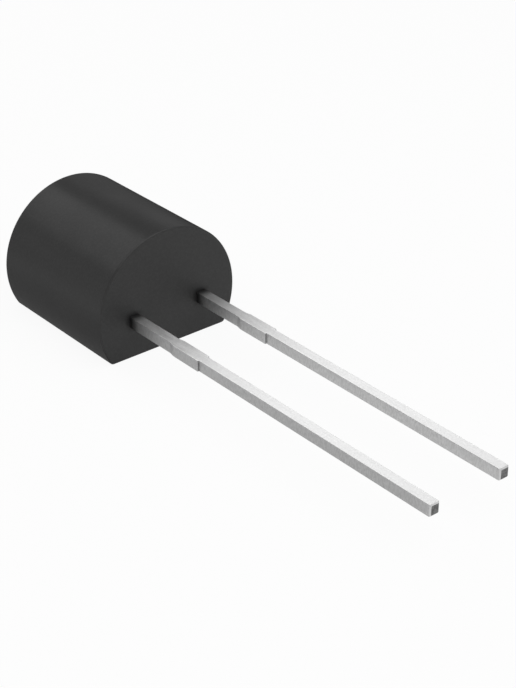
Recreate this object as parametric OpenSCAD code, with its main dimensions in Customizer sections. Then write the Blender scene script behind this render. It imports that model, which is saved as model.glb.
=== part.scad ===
// Miniature fuse in a D-shaped moulded case with two stamped leads.
//
// The fuse lies on its flat: the flat is the plane Z = 0, the round back is up,
// and the leads point to -Y, side by side along X. The origin is the middle of
// the part's footprint, so the lead face of the case stands at Y = exit_y.

/* [Case] */
// Width of the case, which is the diameter of its round back
case_width = 5.1; // [4.8:0.05:6]
// Height of the case, from the flat to the top of the round back
case_height = 3.9; // [3.6:0.05:4.6]
// Length of the case along the leads
case_length = 5.2; // [4.4:0.05:7]
// Radius of the two long edges where the flat meets the round back
flat_edge_radius = 0.15; // [0.05:0.01:0.3]
// Radius of the rims round both end faces
rim_radius = 0.05; // [0.02:0.01:0.12]

/* [Leads] */
// Distance between the middles of the two leads
lead_pitch = 2.54; // [2.2:0.01:2.8]
// Width of a lead across the pair
lead_width = 0.34; // [0.25:0.01:0.4]
// Thickness of the strip that the leads are stamped from
lead_thickness = 0.37; // [0.25:0.01:0.5]
// Length of a lead outside the case
lead_length = 12.8; // [6:0.1:20]
// Height of the middle of the leads above the flat
lead_height = 1.23; // [0.9:0.01:1.6]
// Bevel round the cut tip of a lead
tip_bevel = 0.04; // [0.01:0.01:0.1]

/* [Shoulders] */
// Width of the shoulder, where the tie bar between the leads was cut away
shoulder_width = 0.43; // [0.41:0.01:0.6]
// Length of the shoulder
shoulder_length = 1.37; // [0.5:0.01:2]
// Distance from the case to the shoulder
shoulder_standoff = 2.0; // [0.5:0.05:3]
// Length over which the shoulder widens on its side towards the case
shoulder_taper = 0.2; // [0.05:0.01:0.4]

/* [Inner pads] */
// Length of lead between the case's face and the pad at its inner end
neck_length = 1.3; // [0.8:0.05:1.6]
// Length of the pad
pad_length = 2.0; // [1.8:0.05:2.4]
// Gap between the two pads, which only the fuse wire bridges
pad_gap = 0.9; // [0.6:0.05:1.2]
// How far the pad stands out past the outer side of its lead
pad_outer_step = 0.3; // [0.1:0.05:0.45]
// Diameter of the hole through which the moulding grips the pad
anchor_diameter = 0.5; // [0.3:0.05:0.6]
// Distance from the pad's front edge to the middle of that hole
anchor_setback = 0.6; // [0.4:0.05:0.7]

/* [Fuse wire] */
// Diameter of the fuse wire
wire_diameter = 0.08; // [0.04:0.01:0.12]
// Rise of the wire's arch above its two bonds
wire_rise = 0.6; // [0.3:0.05:0.9]
// Diameter of the bond at each end of the wire
bond_diameter = 0.24; // [0.18:0.01:0.3]
// Height of a bond
bond_height = 0.1; // [0.05:0.01:0.15]
// Distance from the pad's inner edge to the middle of the bond
bond_inset = 0.3; // [0.2:0.05:0.4]
// Distance from the pad's front edge to the middle of the bond
bond_setback = 1.4; // [1.25:0.05:1.6]

/* [Hidden] */
$fn = 96;

// Case: the round back is a cylinder about an axis along Y
back_radius = case_width / 2;
axis_z = case_height - back_radius;
exit_y = (lead_length - case_length) / 2;

// Centre of the small arc that blends the flat into the back, and the point
// where that arc touches the back
blend_x = sqrt(pow(back_radius - flat_edge_radius, 2) - pow(axis_z - flat_edge_radius, 2));
blend_ratio = back_radius / (back_radius - flat_edge_radius);
touch_x = blend_x * blend_ratio;
touch_z = axis_z - (axis_z - flat_edge_radius) * blend_ratio;

// Leads: bottom and top of the strip, and the pad's edges on the right lead
strip_bottom = lead_height - lead_thickness / 2;
strip_top = lead_height + lead_thickness / 2;
lead_x = lead_pitch / 2;
pad_front = exit_y + neck_length;
pad_inner_x = pad_gap / 2;
pad_outer_x = lead_x + lead_width / 2 + pad_outer_step;
pad_middle_x = (pad_inner_x + pad_outer_x) / 2;

// Wire: an arc in the plane Y = bond_y that passes through both bonds
bond_x = pad_inner_x + bond_inset;
bond_y = pad_front + bond_setback;
arch_radius = (pow(bond_x, 2) + pow(wire_rise, 2)) / (2 * wire_rise);
arch_foot_z = strip_top + wire_diameter / 2;
arch_centre_z = arch_foot_z + wire_rise - arch_radius;
arch_half_angle = atan2(bond_x, arch_radius - wire_rise);

// A rectangle from the origin to [wide, high] with rounded corners: both
// corners at the far end of X, or both at the bottom
module rect_round_right(wide, high, radius) {
    square([wide - radius, high]);
    translate([0, radius]) square([wide, high - 2 * radius]);
    for (y = [radius, high - radius])
        translate([wide - radius, y]) circle(radius);
}

module rect_round_bottom(wide, high, radius) {
    translate([0, radius]) square([wide, high - radius]);
    translate([radius, 0]) square([wide - 2 * radius, high]);
    for (x = [radius, wide - radius])
        translate([x, radius]) circle(radius);
}

// The round back as a turned barrel, with its two rims rounded
module barrel() {
    translate([0, exit_y, axis_z])
        rotate([-90, 0, 0])
            rotate_extrude()
                rect_round_right(back_radius, case_length, rim_radius);
}

// Everything that the flat and its two blended long edges leave standing
module above_flat() {
    translate([0, exit_y + case_length + 1, 0])
        rotate([90, 0, 0])
            linear_extrude(case_length + 2) {
                polygon([
                    [blend_x, 0], [touch_x, touch_z], [case_width, touch_z],
                    [case_width, 2 * case_height], [-case_width, 2 * case_height],
                    [-case_width, touch_z], [-touch_x, touch_z], [-blend_x, 0]
                ]);
                for (side = [-1, 1])
                    translate([side * blend_x, flat_edge_radius]) circle(flat_edge_radius);
            }
}

// A block with rounded ends under it, which rounds the flat's two short edges
module flat_ends() {
    translate([-case_width, exit_y, 0])
        rotate([90, 0, 90])
            linear_extrude(2 * case_width)
                rect_round_bottom(case_length, 2 * case_height, rim_radius);
}

// Outline of the right lead, seen from above: tail, shoulder, neck and pad
module lead_outline() {
    half = lead_width / 2;
    wide = shoulder_width / 2;
    tip = exit_y - lead_length;
    near = exit_y - shoulder_standoff;
    difference() {
        union() {
            translate([lead_x, 0])
                polygon([
                    [-half, pad_front], [-half, tip + tip_bevel], [-half + tip_bevel, tip],
                    [half - tip_bevel, tip], [half, tip + tip_bevel], [half, pad_front]
                ]);
            translate([lead_x, near])
                polygon([
                    [-half, 0], [-wide, -shoulder_taper], [-wide, -shoulder_length],
                    [wide, -shoulder_length], [wide, -shoulder_taper], [half, 0]
                ]);
            translate([pad_inner_x, pad_front])
                square([pad_outer_x - pad_inner_x, pad_length]);
        }
        translate([pad_middle_x, pad_front + anchor_setback]) circle(d = anchor_diameter);
    }
}

// Side view of a lead: the strip's thickness, with the bevel at its tip
module lead_side() {
    tip = exit_y - lead_length;
    inner_end = pad_front + pad_length;
    polygon([
        [tip, strip_bottom + tip_bevel], [tip + tip_bevel, strip_bottom],
        [inner_end, strip_bottom], [inner_end, strip_top],
        [tip + tip_bevel, strip_top], [tip, strip_top - tip_bevel]
    ]);
}

module right_lead_metal() {
    intersection() {
        linear_extrude(case_height) lead_outline();
        rotate([90, 0, 90]) linear_extrude(case_width) lead_side();
    }
}

module left_lead_metal() {
    mirror([1, 0, 0]) right_lead_metal();
}

// The arch of the wire and its two bonds
module wire_metal() {
    translate([0, bond_y, arch_centre_z])
        rotate([90, 0, 0])
            rotate([0, 0, 90 - arch_half_angle])
                rotate_extrude(angle = 2 * arch_half_angle)
                    translate([arch_radius, 0]) circle(d = wire_diameter);
    for (side = [-1, 1])
        translate([side * bond_x, bond_y, strip_top])
            cylinder(d = bond_diameter, h = bond_height);
}

module moulded_case() {
    color([0.2, 0.2, 0.2])
        difference() {
            intersection() {
                barrel();
                above_flat();
                flat_ends();
            }
            left_lead_metal();
            right_lead_metal();
            wire_metal();
        }
}

module left_lead() {
    color([0.85, 0.85, 0.83]) left_lead_metal();
}

module right_lead() {
    color([0.85, 0.85, 0.83]) right_lead_metal();
}

module fuse_wire() {
    color([0.9, 0.72, 0.3]) wire_metal();
}

moulded_case();
left_lead();
right_lead();
fuse_wire();
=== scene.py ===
# %% [markdown]
# # A miniature fuse with two stamped leads
#
# The fuse is a black moulded case, D-shaped when seen from its end, with two square tinned leads. It
# lies on its flat with the round back up, and the leads point to -Y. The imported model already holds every
# piece at its real size. This script dresses that model: a finer skin for the case, softer corners for
# the leads, and a finish for the moulding, the plating and the fuse wire.

import math

import bmesh
import bpy
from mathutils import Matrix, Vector


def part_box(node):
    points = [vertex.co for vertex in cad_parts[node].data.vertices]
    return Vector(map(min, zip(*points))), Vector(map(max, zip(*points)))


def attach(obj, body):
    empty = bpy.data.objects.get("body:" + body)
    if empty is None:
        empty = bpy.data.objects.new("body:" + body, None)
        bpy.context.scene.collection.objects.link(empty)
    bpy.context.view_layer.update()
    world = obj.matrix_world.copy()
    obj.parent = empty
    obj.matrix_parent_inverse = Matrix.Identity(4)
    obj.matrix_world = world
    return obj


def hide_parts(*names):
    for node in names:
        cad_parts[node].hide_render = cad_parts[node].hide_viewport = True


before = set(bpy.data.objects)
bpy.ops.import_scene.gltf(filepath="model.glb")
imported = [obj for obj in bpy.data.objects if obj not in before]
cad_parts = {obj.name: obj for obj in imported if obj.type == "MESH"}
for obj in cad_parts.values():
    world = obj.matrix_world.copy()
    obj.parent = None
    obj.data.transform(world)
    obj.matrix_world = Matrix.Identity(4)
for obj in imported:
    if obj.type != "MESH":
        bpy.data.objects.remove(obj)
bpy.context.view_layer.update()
MM = 0.001
print("nodes:", ", ".join(sorted(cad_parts)))

# %% [markdown]
# ## What the model measures
#
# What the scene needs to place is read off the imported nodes: where the case starts and ends, how high it
# is, and how high and how thick the leads are. Reading them beats typing them in, because the scene then
# follows the model. Two sizes are typed in, since a lead's box also holds the wide pad at its inner end:
# the spacing of the two tails and the width of each.

# %% Read the sizes off the nodes
case_low, case_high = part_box("moulded_case")
lead_low, lead_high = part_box("right_lead")
exit_y = case_low.y
case_height = case_high.z
case_side = case_high.x
lead_height = (lead_low.z + lead_high.z) / 2
lead_thickness = lead_high.z - lead_low.z
tip_y = lead_low.y
LEAD_PITCH = 2.54 * MM
LEAD_WIDTH = 0.34 * MM
for name in sorted(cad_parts):
    low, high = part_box(name)
    print(name, "measures", ", ".join(f"{(b - a) / MM:.2f}" for a, b in zip(low, high)), "mm")

# %% [markdown]
# ## The camera
#
# A long lens looks at the fuse from the front left, about 30 degrees from above. From there the round
# back, the end face with both leads and the tops of the leads all show. The camera is placed by where it
# looks, how far it is turned and how far off it stands, because these are easy to change one by one.
# Blender hides whatever is nearer than 100 mm, and this camera is only 49 mm away, so the clipping has to
# start closer.

# %% Set up the camera
VIEW_TURN = math.radians(39.67)
VIEW_DROP = math.radians(29.526)
VIEW_DISTANCE = 49 * MM
VIEW_CENTRE = Vector((0.503, 0.103, 1.398)) * MM
LENS = 87.51

level = Vector((math.sin(VIEW_TURN), math.cos(VIEW_TURN), 0))
to_camera = -level * math.cos(VIEW_DROP) + Vector((0, 0, math.sin(VIEW_DROP)))
camera_data = bpy.data.cameras.new("camera")
camera_data.lens = LENS
camera_data.clip_start = 1 * MM
camera = bpy.data.objects.new("camera", camera_data)
camera.location = VIEW_CENTRE + to_camera * VIEW_DISTANCE
camera.rotation_euler = (math.pi / 2 - VIEW_DROP, 0, -VIEW_TURN)
bpy.context.scene.collection.objects.link(camera)
bpy.context.scene.camera = camera
bpy.context.scene.view_settings.view_transform = "Standard"
print("camera at", ", ".join(f"{value / MM:.2f}" for value in camera.location), "mm")

# %% [markdown]
# ## Helpers for node trees
#
# Every finish below is a small tree of nodes. Adding a node, setting its inputs and linking them is the
# same chore each time, so one helper does it: an input that is given a socket is linked, and any other is
# set. The others start a material, name a grey and do one sum.


# %% Add one node
def add_node(tree, kind, inputs=None, **settings):
    """A new node with its settings made and its inputs set or linked."""
    node = tree.nodes.new(kind)
    for key, value in settings.items():
        setattr(node, key, value)
    for key, value in (inputs or {}).items():
        if isinstance(value, bpy.types.NodeSocket):
            tree.links.new(value, node.inputs[key])
        else:
            node.inputs[key].default_value = value
    return node


def math_node(tree, operation, a, b=0.0, c=0.0, clamp=False):
    """The result of one sum on numbers."""
    node = add_node(tree, "ShaderNodeMath", {0: a, 1: b, 2: c}, operation=operation, use_clamp=clamp)
    return node.outputs[0]


print("helpers ready: add_node, math_node")


# %% Start a material
def new_material(name):
    """A material with an empty tree and one Principled shader wired to its output."""
    material = bpy.data.materials.new(name)
    material.use_nodes = True
    tree = material.node_tree
    tree.nodes.clear()
    shader = add_node(tree, "ShaderNodeBsdfPrincipled")
    add_node(tree, "ShaderNodeOutputMaterial", {"Surface": shader.outputs[0]})
    return material, tree, shader


def grey(level):
    """A grey colour for a socket."""
    return (level, level, level, 1)


print("helpers ready: new_material, grey")

# %% [markdown]
# ## The floor
#
# The floor is a white sheet that runs out of the picture on all sides. Lit by lamps alone it would come
# out pale grey, and brighter lamps would wash out the fuse. So most of its white is a glow of its own,
# which the camera sees whole and mirror-like reflections see in part. The rest is matt paint, and the
# paint takes the fuse's soft shadow.

# %% Lay the floor
FLOOR_SIZE = 800 * MM
FLOOR_GAP = 0.004 * MM
floor_mesh = bpy.data.meshes.new("floor")
sheet = bmesh.new()
bmesh.ops.create_grid(sheet, x_segments=1, y_segments=1, size=FLOOR_SIZE / 2)
sheet.to_mesh(floor_mesh)
sheet.free()
floor = bpy.data.objects.new("floor", floor_mesh)
floor.location.z = -FLOOR_GAP
bpy.context.scene.collection.objects.link(floor)
print(f"floor of {FLOOR_SIZE / MM:.0f} mm laid")

# %% Paint the floor
FLOOR_GLOW = 0.92
FLOOR_MIRRORED_GLOW = 0.5
FLOOR_PAINT = 0.92
FLOOR_ROUGHNESS = 0.9
FLOOR_GLOSS = 0.0
white, tree, paint = new_material("white_floor")
paint.inputs["Base Color"].default_value = grey(FLOOR_PAINT)
paint.inputs["Roughness"].default_value = FLOOR_ROUGHNESS
paint.inputs["Specular IOR Level"].default_value = FLOOR_GLOSS
ray = add_node(tree, "ShaderNodeLightPath").outputs
mirrored_ray = math_node(tree, "ADD", ray["Is Glossy Ray"], ray["Is Transmission Ray"], clamp=True)
share = math_node(tree, "MULTIPLY", mirrored_ray, FLOOR_MIRRORED_GLOW)
share = math_node(tree, "MULTIPLY_ADD", ray["Is Camera Ray"], FLOOR_GLOW, share)
glow = add_node(tree, "ShaderNodeEmission", {"Color": grey(1.0), "Strength": 1.0})
both = add_node(tree, "ShaderNodeMixShader", {0: share, 1: paint.outputs[0], 2: glow.outputs[0]})
tree.links.new(both.outputs[0], tree.nodes["Material Output"].inputs["Surface"])
floor_mesh.materials.append(white)
print("floor painted", white.name)

# %% [markdown]
# ## The light
#
# A black satin case hardly shows how much light falls on it. It shows what it mirrors, as soft stripes
# along its back. So the lamps are large panels, each put where a chosen strip of the back mirrors it, and
# the gaps between them show the even grey of the room. The mirror rule gives the places: what a surface
# shows to the camera lies as far beyond its own facing as the camera lies before it. The top panel leans
# a little towards the leads from there, which keeps its stripe even from one end of the case to the other.

# %% Light the room
ROOM_LIGHT = 0.35
world = bpy.data.worlds.new("room")
world.use_nodes = True
backdrop = world.node_tree.nodes["Background"]
backdrop.inputs["Color"].default_value = grey(1.0)
backdrop.inputs["Strength"].default_value = ROOM_LIGHT
bpy.context.scene.world = world
print("room lit at", ROOM_LIGHT)


# %% Find what a surface mirrors
def mirrored(facing):
    """The way from a surface that faces this way to what it mirrors to the camera."""
    return facing * (2 * facing.dot(to_camera)) - to_camera


def back_facing(degrees):
    """The way that the round back faces, at an angle from +X over the top."""
    angle = math.radians(degrees)
    return Vector((math.cos(angle), 0, math.sin(angle)))


for degrees in (90, 120, 150):
    way = ", ".join(f"{value:.2f}" for value in mirrored(back_facing(degrees)))
    print(f"the back at {degrees} degrees mirrors what lies towards {way}")

# %% Hang the light panels
TOP_ANGLE = 119.7
TOP_LEAN = Vector((0, -0.12, 0))
TOP_SIZE = (72 * MM, 80 * MM)
TOP_LEVEL = 0.75
LEFT_ANGLE = 149.7
LEFT_SIZE = (50 * MM, 80 * MM)
LEFT_LEVEL = 0.4
KEY_DIRECTION = Vector((0.1, -0.45, 0.9))
KEY_SIZE = (160 * MM, 110 * MM)
KEY_LEVEL = 1.2
PANEL_DISTANCE = 90 * MM
KEY_DISTANCE = 100 * MM
case_middle = (case_low + case_high) / 2


def light_panel(name, centre, facing_from, size, level):
    """A lamp that shines back along a direction. Its power follows from how bright it is to look."""
    data = bpy.data.lights.new(name, "AREA")
    data.shape = "RECTANGLE"
    data.size, data.size_y = size
    data.energy = level * math.pi * data.size * data.size_y
    lamp = bpy.data.objects.new(name, data)
    lamp.location = centre
    lamp.rotation_mode = "QUATERNION"
    lamp.rotation_quaternion = facing_from.to_track_quat("Z", "Y")
    lamp.visible_camera = False
    bpy.context.scene.collection.objects.link(lamp)
    print(f"{name}: {data.energy * 1000:.1f} mW")
    return lamp


def hang(name, direction, distance, size, level):
    """A panel that hangs in a direction from the case and faces it."""
    direction = direction.normalized()
    light_panel(name, case_middle + direction * distance, direction, size, level)


hang("top_panel", mirrored(back_facing(TOP_ANGLE)) + TOP_LEAN, PANEL_DISTANCE, TOP_SIZE, TOP_LEVEL)
hang("left_panel", mirrored(back_facing(LEFT_ANGLE)), PANEL_DISTANCE, LEFT_SIZE, LEFT_LEVEL)
hang("key_panel", KEY_DIRECTION, KEY_DISTANCE, KEY_SIZE, KEY_LEVEL)

# %% [markdown]
# ## A panel for the leads
#
# The tops of the leads face straight up, so they mirror what is behind the fuse on the right, and that is
# where tin has to find its brightness. The round back mirrors the same place along one strip that is to
# stay dark. So this panel stands upright in the plane of the lead face and shines forward: the leads are
# in front of it and the back is behind it. It serves reflections only, so it throws no light on the floor.

# %% Stand the panel for the leads
LEAD_PANEL_SIZE = (29 * MM, 26 * MM)
LEAD_PANEL_LEFT = -3 * MM
LEAD_PANEL_RISE = 0.4 * MM
LEAD_PANEL_LEVEL = 1.04
behind = Vector((0, 1, 0))
centre = Vector((LEAD_PANEL_LEFT, exit_y, case_height + LEAD_PANEL_RISE))
centre += Vector((LEAD_PANEL_SIZE[0], 0, LEAD_PANEL_SIZE[1])) / 2
lead_panel = light_panel("lead_panel", centre, behind, LEAD_PANEL_SIZE, LEAD_PANEL_LEVEL)
lead_panel.visible_diffuse = False

# %% [markdown]
# ## Cards for the reflections
#
# In a studio, small cards stand just outside the picture to shape what a shiny object mirrors. Dark cards
# keep an edge from washing out. An ordinary object could serve, but it would also throw a shadow and take
# light. Here each card glows at the shade that it is to show, and only reflections see it. The shade
# changes softly from one side to the other, so that no hard line shows in the reflection.


# %% Make a card
def card_glow(name, shades, axis, curve):
    """A glow that runs from the first shade to the second along one axis of the card's box."""
    material, tree, _ = new_material(name)
    tree.nodes.clear()
    place = add_node(tree, "ShaderNodeTexCoord").outputs["Generated"]
    along = add_node(tree, "ShaderNodeSeparateXYZ", {0: place}).outputs[axis]
    along = math_node(tree, "POWER", along, curve)
    shade = math_node(tree, "MULTIPLY_ADD", along, shades[1] - shades[0], shades[0])
    glow = add_node(tree, "ShaderNodeEmission", {"Strength": shade})
    add_node(tree, "ShaderNodeOutputMaterial", {"Surface": glow.outputs[0]})
    return material


def reflection_card(name, edges, shades, axis, curve):
    """A card through a row of edges, each given by its two ends."""
    corners = [corner for edge in edges for corner in edge]
    faces = [(i, i + 1, i + 3, i + 2) for i in range(0, len(corners) - 2, 2)]
    mesh = bpy.data.meshes.new(name)
    mesh.from_pydata(corners, [], faces)
    mesh.materials.append(card_glow(name, shades, axis, curve))
    card = bpy.data.objects.new(name, mesh)
    card.visible_camera = False
    card.visible_diffuse = False
    card.visible_transmission = False
    card.visible_volume_scatter = False
    card.visible_shadow = False
    bpy.context.scene.collection.objects.link(card)
    print(f"{name}: {len(faces)} faces, shades {shades[0]} to {shades[1]}")


# %% Keep the far edge of the back dark
BACK_CARD_DISTANCE = 6.0 * MM
BACK_CARD_SHIFT = 1.6 * MM
BACK_CARD_HALF_WIDTH = 4.0 * MM
BACK_CARD_BOTTOM = 0.3 * MM
BACK_CARD_TOP = 6.9 * MM
BACK_CARD_SHADES = (0.0, 0.53)
BACK_CARD_CURVE = 1.7

across = Vector((level.y, -level.x, 0))
foot = Vector((0, case_middle.y, 0)) + level * BACK_CARD_DISTANCE + across * BACK_CARD_SHIFT
half = across * BACK_CARD_HALF_WIDTH
heights = (Vector((0, 0, BACK_CARD_BOTTOM)), Vector((0, 0, BACK_CARD_TOP)))
edges = [(foot - half + height, foot + half + height) for height in heights]
reflection_card("back_card", edges, BACK_CARD_SHADES, "Z", BACK_CARD_CURVE)

# %% Shade the left side of the case
SIDE_CARD_ANGLE = 159
SIDE_CARD_DISTANCE = 7.2 * MM
SIDE_CARD_REACH = 7.0 * MM
SIDE_CARD_HEIGHT = 3.2 * MM
SIDE_CARD_SHADES = (0.82, 0.21)
SIDE_CARD_CURVE = 2.0
SIDE_CARD_INNER = -0.85 * case_side
SIDE_CARD_MARGIN = 0.5 * MM

outward = mirrored(back_facing(SIDE_CARD_ANGLE))
outward.z = 0
reach = Vector((outward.y, -outward.x, 0)).normalized() * SIDE_CARD_REACH
foot = Vector((-case_side, case_middle.y, 0)) + outward * SIDE_CARD_DISTANCE
head = foot + Vector((0, 0, SIDE_CARD_HEIGHT))
near_end = Vector((SIDE_CARD_INNER, exit_y - SIDE_CARD_MARGIN, 0))
far_end = Vector((SIDE_CARD_INNER, foot.y + reach.y, 0))
edges = [(near_end, far_end), (foot - reach, foot + reach), (head - reach, head + reach)]
reflection_card("side_card", edges, SIDE_CARD_SHADES, "X", SIDE_CARD_CURVE)

# %% Shade the left lead's side
LEAD_CARD_SHADE = 0.62
LEAD_CARD_WIDTH = 6.4 * MM
LEAD_CARD_SETBACK = 0.8 * MM
right = -LEAD_PITCH / 2 - LEAD_WIDTH
left = right - LEAD_CARD_WIDTH
front = tip_y + LEAD_CARD_SETBACK
edges = [(Vector((left, y, 0)), Vector((right, y, 0))) for y in (front, exit_y)]
reflection_card("lead_card", edges, (LEAD_CARD_SHADE, LEAD_CARD_SHADE), "X", 1.0)

# %% [markdown]
# ## The case
#
# The case is moulded in one piece: a cylinder with a flat on one side. Its end view is a big arc, a
# shorter flat, and two small arcs that blend them. A Boolean of a cylinder and a block would give it too,
# but with ragged faces along the blends. Here the outline is worked out as points and lofted along the
# case in rings. The first and last rings draw in along a quarter circle, which rounds the two rims. The
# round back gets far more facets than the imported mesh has, so its reflections run smoothly. The radii of
# its edges can't be read off a box, so they are typed in.
#
# Smooth shading blends the facing of a long face with that of whatever it meets. Without help the barrel
# would shade as if it bulged towards its middle, because its long faces meet the rounded rims. So a
# narrow band of faces runs beside each rounding, and takes that blend in its own small width.

# %% Work out the outline of the case
BACK_RADIUS = case_side
FLAT_EDGE_RADIUS = 0.15 * MM
BACK_STEPS = 160
EDGE_STEPS = 6
BAND = 0.02 * MM
back_axis_z = case_height - BACK_RADIUS
blend_x = math.sqrt((BACK_RADIUS - FLAT_EDGE_RADIUS) ** 2 - (back_axis_z - FLAT_EDGE_RADIUS) ** 2)
blend_angle = math.atan2(FLAT_EDGE_RADIUS - back_axis_z, blend_x)


def arc(x, z, radius, start, stop, steps):
    """Points along an arc. Its angles run from +X over the top."""
    angles = [start + (stop - start) * i / steps for i in range(steps + 1)]
    return [(x + radius * math.cos(a), z + radius * math.sin(a)) for a in angles]


def case_outline(inset):
    """The case seen from its end, drawn in by inset all round."""
    edge = FLAT_EDGE_RADIUS - inset
    right = arc(blend_x, FLAT_EDGE_RADIUS, edge, -math.pi / 2, blend_angle, EDGE_STEPS)
    back = arc(0, back_axis_z, BACK_RADIUS - inset, blend_angle, math.pi - blend_angle, BACK_STEPS)
    left = arc(-blend_x, FLAT_EDGE_RADIUS, edge, math.pi - blend_angle, 1.5 * math.pi, EDGE_STEPS)
    flat = [(blend_x - BAND, inset), (BAND - blend_x, inset)]
    return flat[:1] + right[:-1] + back + left[1:] + flat[1:]


print(f"outline of {len(case_outline(0))} points, flat {2 * blend_x / MM:.2f} mm wide")

# %% Loft the case
RIM_RADIUS = 0.05 * MM
RIM_STEPS = 5


def case_rings():
    """How far along Y each ring stands and how far it is drawn in, from the front face to the rear."""
    turns = [math.pi / 2 * i / RIM_STEPS for i in range(RIM_STEPS + 1)]
    rim = [(RIM_RADIUS * (1 - math.sin(t)), RIM_RADIUS * (1 - math.cos(t))) for t in turns]
    rim = [(RIM_RADIUS + BAND, 0)] + rim
    front = [(exit_y + depth, inset) for depth, inset in reversed(rim)]
    rear = [(case_high.y - depth, inset) for depth, inset in rim]
    return front + rear


shell = bmesh.new()
rings = [[shell.verts.new((x, y, z)) for x, z in case_outline(inset)] for y, inset in case_rings()]
for ring, following in zip(rings, rings[1:]):
    for i in range(len(ring)):
        j = (i + 1) % len(ring)
        shell.faces.new((ring[i], ring[j], following[j], following[i])).smooth = True
shell.faces.new(rings[0])
shell.faces.new(rings[-1])
bmesh.ops.recalc_face_normals(shell, faces=shell.faces)
case_mesh = bpy.data.meshes.new("case_skin")
shell.to_mesh(case_mesh)
shell.free()
case = bpy.data.objects.new("case_skin", case_mesh)
bpy.context.scene.collection.objects.link(case)
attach(case, "root")
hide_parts("moulded_case")
print(f"case skin: {len(case_mesh.polygons)} faces")

# %% [markdown]
# ## Helpers for the finishes
#
# A finish needs a few more things than the floor did: sums on places, a soft step from one number to
# another, a mix of two colours, and noise for whatever is uneven. An image would give the unevenness too,
# but it has a fixed size and a seam. Noise is worked out at every point, at the real size of the thing it
# stands for.


# %% Steps and mixes
def vector_node(tree, operation, a, b=(0, 0, 0)):
    """The result of one sum on vectors."""
    node = add_node(tree, "ShaderNodeVectorMath", {0: a, 1: b}, operation=operation)
    return node.outputs["Value" if operation == "LENGTH" else "Vector"]


def ramp_node(tree, value, low, high, at_low, at_high):
    """A number that runs smoothly from at_low to at_high while value runs from low to high."""
    inputs = {"Value": value, "From Min": low, "From Max": high, "To Min": at_low, "To Max": at_high}
    return add_node(tree, "ShaderNodeMapRange", inputs, interpolation_type="SMOOTHSTEP").outputs["Result"]


def mix_numbers(tree, share, first, second):
    """The first number where share is 0, the second where it is 1."""
    inputs = {"Factor": share, 2: first, 3: second}
    return add_node(tree, "ShaderNodeMix", inputs).outputs[0]


def mix_colours(tree, share, first, second, blend="MIX"):
    """The same for colours, which have sockets of their own on the node."""
    inputs = {"Factor": share, 6: first, 7: second}
    return add_node(tree, "ShaderNodeMix", inputs, data_type="RGBA", blend_type=blend).outputs[2]


def darken(tree, colour, share):
    """The colour times a number from 0 to 1 that changes over the surface."""
    shade = add_node(tree, "ShaderNodeCombineColor", {0: share, 1: share, 2: share}).outputs[0]
    return mix_colours(tree, 1.0, colour, shade, "MULTIPLY")


print("helpers ready: vector_node, ramp_node, mix_numbers, mix_colours, darken")

# %% Noise
NOISE_LOW = 0.3
NOISE_HIGH = 0.7


def noise(tree, place, size, detail=2.0):
    """Soft random patches about as wide as size, mostly between NOISE_LOW and NOISE_HIGH."""
    inputs = {"Vector": place, "Scale": 1 / size, "Detail": detail}
    return add_node(tree, "ShaderNodeTexNoise", inputs).outputs[0]


def spread(tree, pattern, at_low=0.0, at_high=1.0):
    """A number that runs from at_low to at_high over the usual values of a noise."""
    return ramp_node(tree, pattern, NOISE_LOW, NOISE_HIGH, at_low, at_high)


print("helpers ready: noise, spread")

# %% [markdown]
# ## The colour of the moulding
#
# Moulding compound is a black resin full of fine glass grains. The mould's polished barrel gives the round
# back a satin skin. Its etched end plates give both ends a coarser one, which looks a little paler, and the
# paler grey of the ends also carries a little painted light. One plain black would look like paint, and a
# second material on the ends would meet it along a hard line. So one material tells the ends from the back
# by the way they face, and a fine noise scatters faint specks of glass over both.

# %% Colour the moulding
RESIN_DARK = 0.013
RESIN_PALE = 0.019
# The etched grey is partly the matt skin and partly painted light on the ends.
RESIN_ETCHED_AND_LIT = 0.027
RESIN_ETCHED_AND_LIT_PALE = 0.033
SPECK_SIZE = 0.07 * MM
SPECK_STARTS = 0.35
SPECK_FULL = 0.75
moulding, tree, shader = new_material("black_moulding")
coordinates = add_node(tree, "ShaderNodeTexCoord").outputs
place = coordinates["Object"]
facing = vector_node(tree, "ABSOLUTE", coordinates["Normal"])
endwise = add_node(tree, "ShaderNodeSeparateXYZ", {0: facing}).outputs["Y"]
specks = ramp_node(tree, noise(tree, place, SPECK_SIZE), SPECK_STARTS, SPECK_FULL, 0.0, 1.0)
satin_resin = mix_colours(tree, specks, grey(RESIN_DARK), grey(RESIN_PALE))
etched_and_lit_resin = mix_colours(tree, specks, grey(RESIN_ETCHED_AND_LIT), grey(RESIN_ETCHED_AND_LIT_PALE))
resin = mix_colours(tree, endwise, satin_resin, etched_and_lit_resin)
print(f"resin coloured, with specks of {SPECK_SIZE / MM:.2f} mm")

# %% [markdown]
# ## The rims
#
# The two rims rub against trays and boards, which leaves them a little paler, and not evenly. A strip of
# faces with its own material could show that, but its border would be a hard line. The rims face halfway
# between the back and an end, so a number that is highest halfway finds them and fades out on both sides.
# A noise then makes the rubbing uneven. The pale grey is partly this wear and partly painted light: it
# also lifts the dark line that the rounded rims would mirror.

# %% Scuff the rims
SCUFF_AND_LIFT = 0.036
SCUFF_SIZE = 0.3 * MM
SCUFF_LEAST = 0.4
RIM_STARTS = 0.05
RIM_FULL = 0.25
between = math_node(tree, "MULTIPLY", endwise, math_node(tree, "SUBTRACT", 1.0, endwise))
on_rim = ramp_node(tree, between, RIM_STARTS, RIM_FULL, 0.0, 1.0)
patchy = spread(tree, noise(tree, place, SCUFF_SIZE), SCUFF_LEAST)
# Partly painted light: the pale grey also lifts the dark line that the rims mirror.
resin = mix_colours(tree, math_node(tree, "MULTIPLY", on_rim, patchy), resin, grey(SCUFF_AND_LIFT))
print(f"rims scuffed to a grey of {SCUFF_AND_LIFT}")
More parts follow.
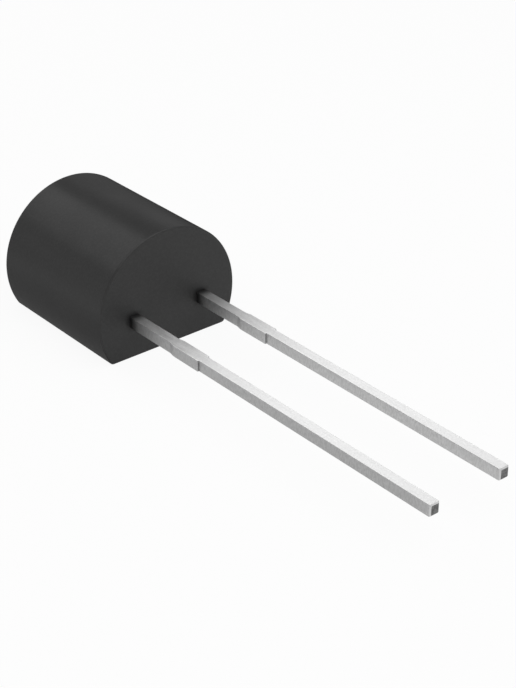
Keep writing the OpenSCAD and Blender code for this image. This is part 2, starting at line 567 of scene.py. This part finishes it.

# %% [markdown]
# ## Where the leads come out
#
# The light hardly reaches into the corner where each lead leaves the case, and that shade is painted into
# the moulding's colour: it darkens with nearness to the lead, measured in all three directions, so only
# the lead face gets it, and not the far end. The leads are mirror images, so one sum without the sign of X
# serves both.

# %% Paint shade on the moulding round the leads
CORNER_SHADE_WIDTH = 0.2 * MM
CORNER_SHADE = 0.42
lead_middle = (LEAD_PITCH / 2, exit_y, lead_height)
lead_half = (LEAD_WIDTH / 2, 0, lead_thickness / 2)
away = vector_node(tree, "SUBTRACT", vector_node(tree, "ABSOLUTE", place), lead_middle)
away = vector_node(tree, "SUBTRACT", vector_node(tree, "ABSOLUTE", away), lead_half)
away = vector_node(tree, "LENGTH", vector_node(tree, "MAXIMUM", away))
# Painted shade: the moulding darkens close to each lead.
painted_corner_shade = ramp_node(tree, away, 0.0, CORNER_SHADE_WIDTH, CORNER_SHADE, 1.0)
tree.links.new(darken(tree, resin, painted_corner_shade), shader.inputs["Base Color"])
print(f"resin darker within {CORNER_SHADE_WIDTH / MM:.2f} mm of the leads")

# %% [markdown]
# ## The skin of the moulding
#
# The polished part of the mould leaves the back satin and the etched ends leave them matt. Where the resin
# flowed, the back shines a little more or less in patches. One roughness for all would lose that, so the
# roughness follows the facing and wanders over the back. The grain is too fine to build as mesh, so it is
# a bump that breaks up the highlights.
#
# The roughness stays above 0.274 all over. Blender's denoiser treats a surface below that as a mirror,
# and where the patches crossed it the border showed as a thin line.

# %% Give the moulding its skin
PATCH_SIZE = 1.2 * MM
SATIN_ROUGHNESS = (0.28, 0.32)
END_ROUGHNESS = 0.5
RESIN_GLOSS = 0.35
GRAIN_SIZE = 0.09 * MM
GRAIN_DEPTH = 0.004 * MM
GRAIN_STRENGTH = 0.3
satin = spread(tree, noise(tree, place, PATCH_SIZE), *SATIN_ROUGHNESS)
tree.links.new(mix_numbers(tree, endwise, satin, END_ROUGHNESS), shader.inputs["Roughness"])
shader.inputs["Specular IOR Level"].default_value = RESIN_GLOSS
grain = noise(tree, place, GRAIN_SIZE, detail=1.0)
inputs = {"Height": grain, "Strength": GRAIN_STRENGTH, "Distance": GRAIN_DEPTH}
tree.links.new(add_node(tree, "ShaderNodeBump", inputs).outputs[0], shader.inputs["Normal"])
case_mesh.materials.append(moulding)
print("moulding finished", moulding.name)

# %% [markdown]
# ## The leads
#
# The leads are stamped from strip and then tinned. Their faces are flat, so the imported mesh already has
# their form, and building them again would add nothing. Only its knife-sharp corners are untrue, because
# plating leaves a soft corner. Two modifiers see to that and leave the mesh itself alone: one joins the
# corners that the file format split, and one rounds them.

# %% Soften the corners of the leads
CORNER_RADIUS = 0.02 * MM
CORNER_STEPS = 3
SHARP_CORNER = math.radians(30)
JOIN_DISTANCE = 0.0005 * MM
leads = [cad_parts["left_lead"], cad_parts["right_lead"]]
for lead in leads:
    join = lead.modifiers.new("join_corners", "WELD")
    join.merge_threshold = JOIN_DISTANCE
    soften = lead.modifiers.new("soften_corners", "BEVEL")
    soften.width = CORNER_RADIUS
    soften.segments = CORNER_STEPS
    soften.limit_method = "ANGLE"
    soften.angle_limit = SHARP_CORNER
    soften.harden_normals = True
    print(f"{lead.name}: corners rounded to {CORNER_RADIUS / MM:.3f} mm")

# %% [markdown]
# ## The finish of the leads
#
# Tin is a pale, soft metal that scatters what it mirrors, and it sets in fine crystals that mottle it. The
# strip's two broad faces carry fine lines along its length, from rolling. Its sides were sheared by the
# punch: they are duller, with torn streaks across the strip. Their darker grey is partly that duller finish
# and partly painted shade, since the sides face away from the light. The tip was cut after plating, so it
# shows the darker metal of the core. Which face is which follows from the way it faces, so one material
# serves them all.

# %% Sort the faces of a lead by the way they face
SIDE_STARTS = 0.6
SIDE_FULL = 0.9
CUT_STARTS = 0.8
CUT_FULL = 0.95
TIP_DEPTH = 0.1 * MM
tin, tree, shader = new_material("tin_plating")
coordinates = add_node(tree, "ShaderNodeTexCoord").outputs
place = coordinates["Object"]
facing = add_node(tree, "ShaderNodeSeparateXYZ", {0: coordinates["Normal"]}).outputs
sideways = math_node(tree, "ABSOLUTE", facing["X"])
side_share = ramp_node(tree, sideways, SIDE_STARTS, SIDE_FULL, 0.0, 1.0)
tipwards = math_node(tree, "MULTIPLY", facing["Y"], -1.0)
cut = ramp_node(tree, tipwards, CUT_STARTS, CUT_FULL, 0.0, 1.0)
along = add_node(tree, "ShaderNodeSeparateXYZ", {0: place}).outputs["Y"]
at_tip = math_node(tree, "LESS_THAN", along, tip_y + TIP_DEPTH)
print("faces sorted")

# %% Colour the tin
ROLLED_TIN = (0.68, 0.76)
ROLLING_LINE_LENGTH = 0.9 * MM
ROLLING_LINE_SQUEEZE = (40, 1, 40)
# Partly painted shade: the sides are darker as well because they face away from the light.
SHEARED_AND_SHADED_TIN = (0.57, 0.67)
TEAR_SIZE = 0.25 * MM
TEAR_SQUEEZE = (1, 6, 2)
along_lead = vector_node(tree, "MULTIPLY", place, ROLLING_LINE_SQUEEZE)
rolled = noise(tree, along_lead, ROLLING_LINE_LENGTH, detail=3.0)
faces = mix_colours(tree, spread(tree, rolled), *map(grey, ROLLED_TIN))
across_lead = vector_node(tree, "MULTIPLY", place, TEAR_SQUEEZE)
torn = noise(tree, across_lead, TEAR_SIZE, detail=4.0)
sheared_and_shaded_sides = mix_colours(tree, spread(tree, torn), *map(grey, SHEARED_AND_SHADED_TIN))
metal = mix_colours(tree, side_share, faces, sheared_and_shaded_sides)
print("tin coloured")

# %% Mottle the plating and bare the cut end
CRYSTAL_SIZE = 0.07 * MM
CRYSTAL_SHADE = 0.93
CRYSTAL_DEPTH = 0.003 * MM
CRYSTAL_STRENGTH = 0.4
STEP_CUT = 0.36
BARE_CORE = (0.13, 0.22)
BARE_CORE_STARTS = 0.35
BARE_CORE_FULL = 0.65
mottle = noise(tree, place, CRYSTAL_SIZE, detail=3.0)
metal = darken(tree, metal, spread(tree, mottle, CRYSTAL_SHADE))
patches = ramp_node(tree, mottle, BARE_CORE_STARTS, BARE_CORE_FULL, 0.0, 1.0)
core = mix_colours(tree, patches, *map(grey, BARE_CORE))
metal = mix_colours(tree, cut, metal, mix_colours(tree, at_tip, grey(STEP_CUT), core))
inputs = {"Height": mottle, "Strength": CRYSTAL_STRENGTH, "Distance": CRYSTAL_DEPTH}
tree.links.new(add_node(tree, "ShaderNodeBump", inputs).outputs[0], shader.inputs["Normal"])
print(f"plating mottled in crystals of {CRYSTAL_SIZE / MM:.2f} mm")

# %% [markdown]
# ## The roots of the leads
#
# Next to the case a lead lies in the case's shade, deepest in the first half millimetre and fainter for a
# few millimetres more. That shade is painted: two ramps along the lead darken the tin.

# %% Paint shade on the roots
ROOT_SHADE_LENGTH = 0.5 * MM
ROOT_SHADE = 0.12
CASE_SHADE_LENGTH = 2.6 * MM
CASE_SHADE = 0.86
TIN_ROUGHNESS = (0.46, 0.54)
out = math_node(tree, "SUBTRACT", exit_y, along)
# Painted shade along the lead's root, deep at first and then faint.
painted_root_shade = ramp_node(tree, out, 0.0, ROOT_SHADE_LENGTH, ROOT_SHADE, 1.0)
painted_case_shade = ramp_node(tree, out, 0.0, CASE_SHADE_LENGTH, CASE_SHADE, 1.0)
metal = darken(tree, metal, math_node(tree, "MULTIPLY", painted_root_shade, painted_case_shade))
tree.links.new(metal, shader.inputs["Base Color"])
shader.inputs["Metallic"].default_value = 1.0
tree.links.new(spread(tree, rolled, *TIN_ROUGHNESS), shader.inputs["Roughness"])
for lead in leads:
    lead.material_slots[0].material = tin
print("tin on", ", ".join(lead.name for lead in leads))

# %% [markdown]
# ## The fuse wire
#
# Inside the case a fine wire arches from one lead's pad to the other, bonded down at both ends. It is
# brass, drawn bright through a die. Nobody sees it in a closed case, but the model shows it when the case
# is hidden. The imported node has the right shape, so it only needs its finish: fine lines along the wire
# where the die scraped it, and browner patches where the brass has tarnished a little.

# %% Make the wire's finish
BRIGHT_BRASS = (0.83, 0.62, 0.25, 1)
TARNISHED_BRASS = (0.60, 0.40, 0.15, 1)
TARNISH_SIZE = 0.12 * MM
TARNISH_STARTS = 0.5
TARNISH_FULL = 0.8
SCRAPE_SQUEEZE = (1, 20, 4)
BRASS_ROUGHNESS = (0.3, 0.42)
brass, tree, shader = new_material("drawn_brass")
place = add_node(tree, "ShaderNodeTexCoord").outputs["Object"]
stain = noise(tree, place, TARNISH_SIZE, detail=3.0)
tarnish = ramp_node(tree, stain, TARNISH_STARTS, TARNISH_FULL, 0.0, 1.0)
tree.links.new(mix_colours(tree, tarnish, BRIGHT_BRASS, TARNISHED_BRASS), shader.inputs["Base Color"])
shader.inputs["Metallic"].default_value = 1.0
scraped = noise(tree, vector_node(tree, "MULTIPLY", place, SCRAPE_SQUEEZE), TARNISH_SIZE)
tree.links.new(spread(tree, scraped, *BRASS_ROUGHNESS), shader.inputs["Roughness"])
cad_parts["fuse_wire"].material_slots[0].material = brass
print("wire finished", brass.name)
